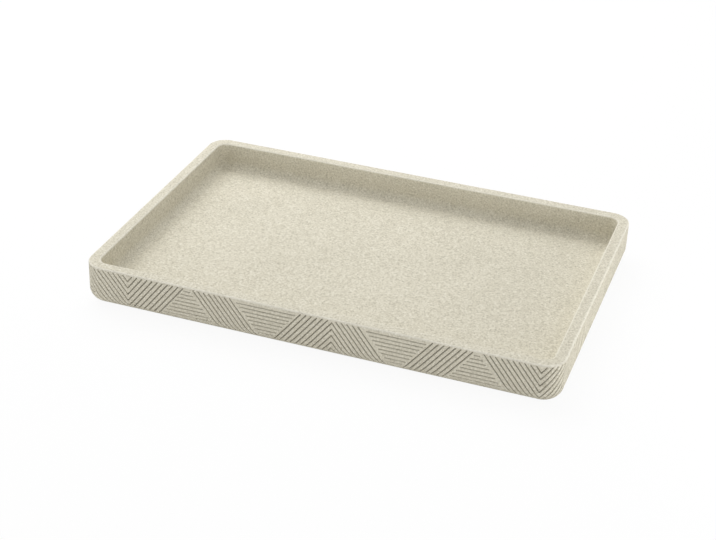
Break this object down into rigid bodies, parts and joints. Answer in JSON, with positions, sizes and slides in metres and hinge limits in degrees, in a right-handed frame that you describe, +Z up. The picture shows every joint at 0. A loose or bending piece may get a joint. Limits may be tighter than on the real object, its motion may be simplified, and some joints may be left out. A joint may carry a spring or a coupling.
{
  "type": "tea tray",
  "caption": "Shallow rectangular stone-look tea tray with rounded corners, a coved well, hatch-carved outer walls and round anti-slip pads underneath.",
  "frame": {"origin": "on the table, under the middle of the tray", "axes": "+X along the length, front wall towards -Y, +Z up out of the well"},
  "size_m": [0.3, 0.2, 0.028],
  "materials": {
    "cast_stone": "matte, fine sandy grain",
    "pad_rubber": "matte"
  },
  "bodies": {
    "root": {"tray_body": "cast_stone", "foot_pad_front_left": "pad_rubber", "foot_pad_front_right": "pad_rubber", "foot_pad_rear_left": "pad_rubber", "foot_pad_rear_right": "pad_rubber"}
  },
  "joints": []
}
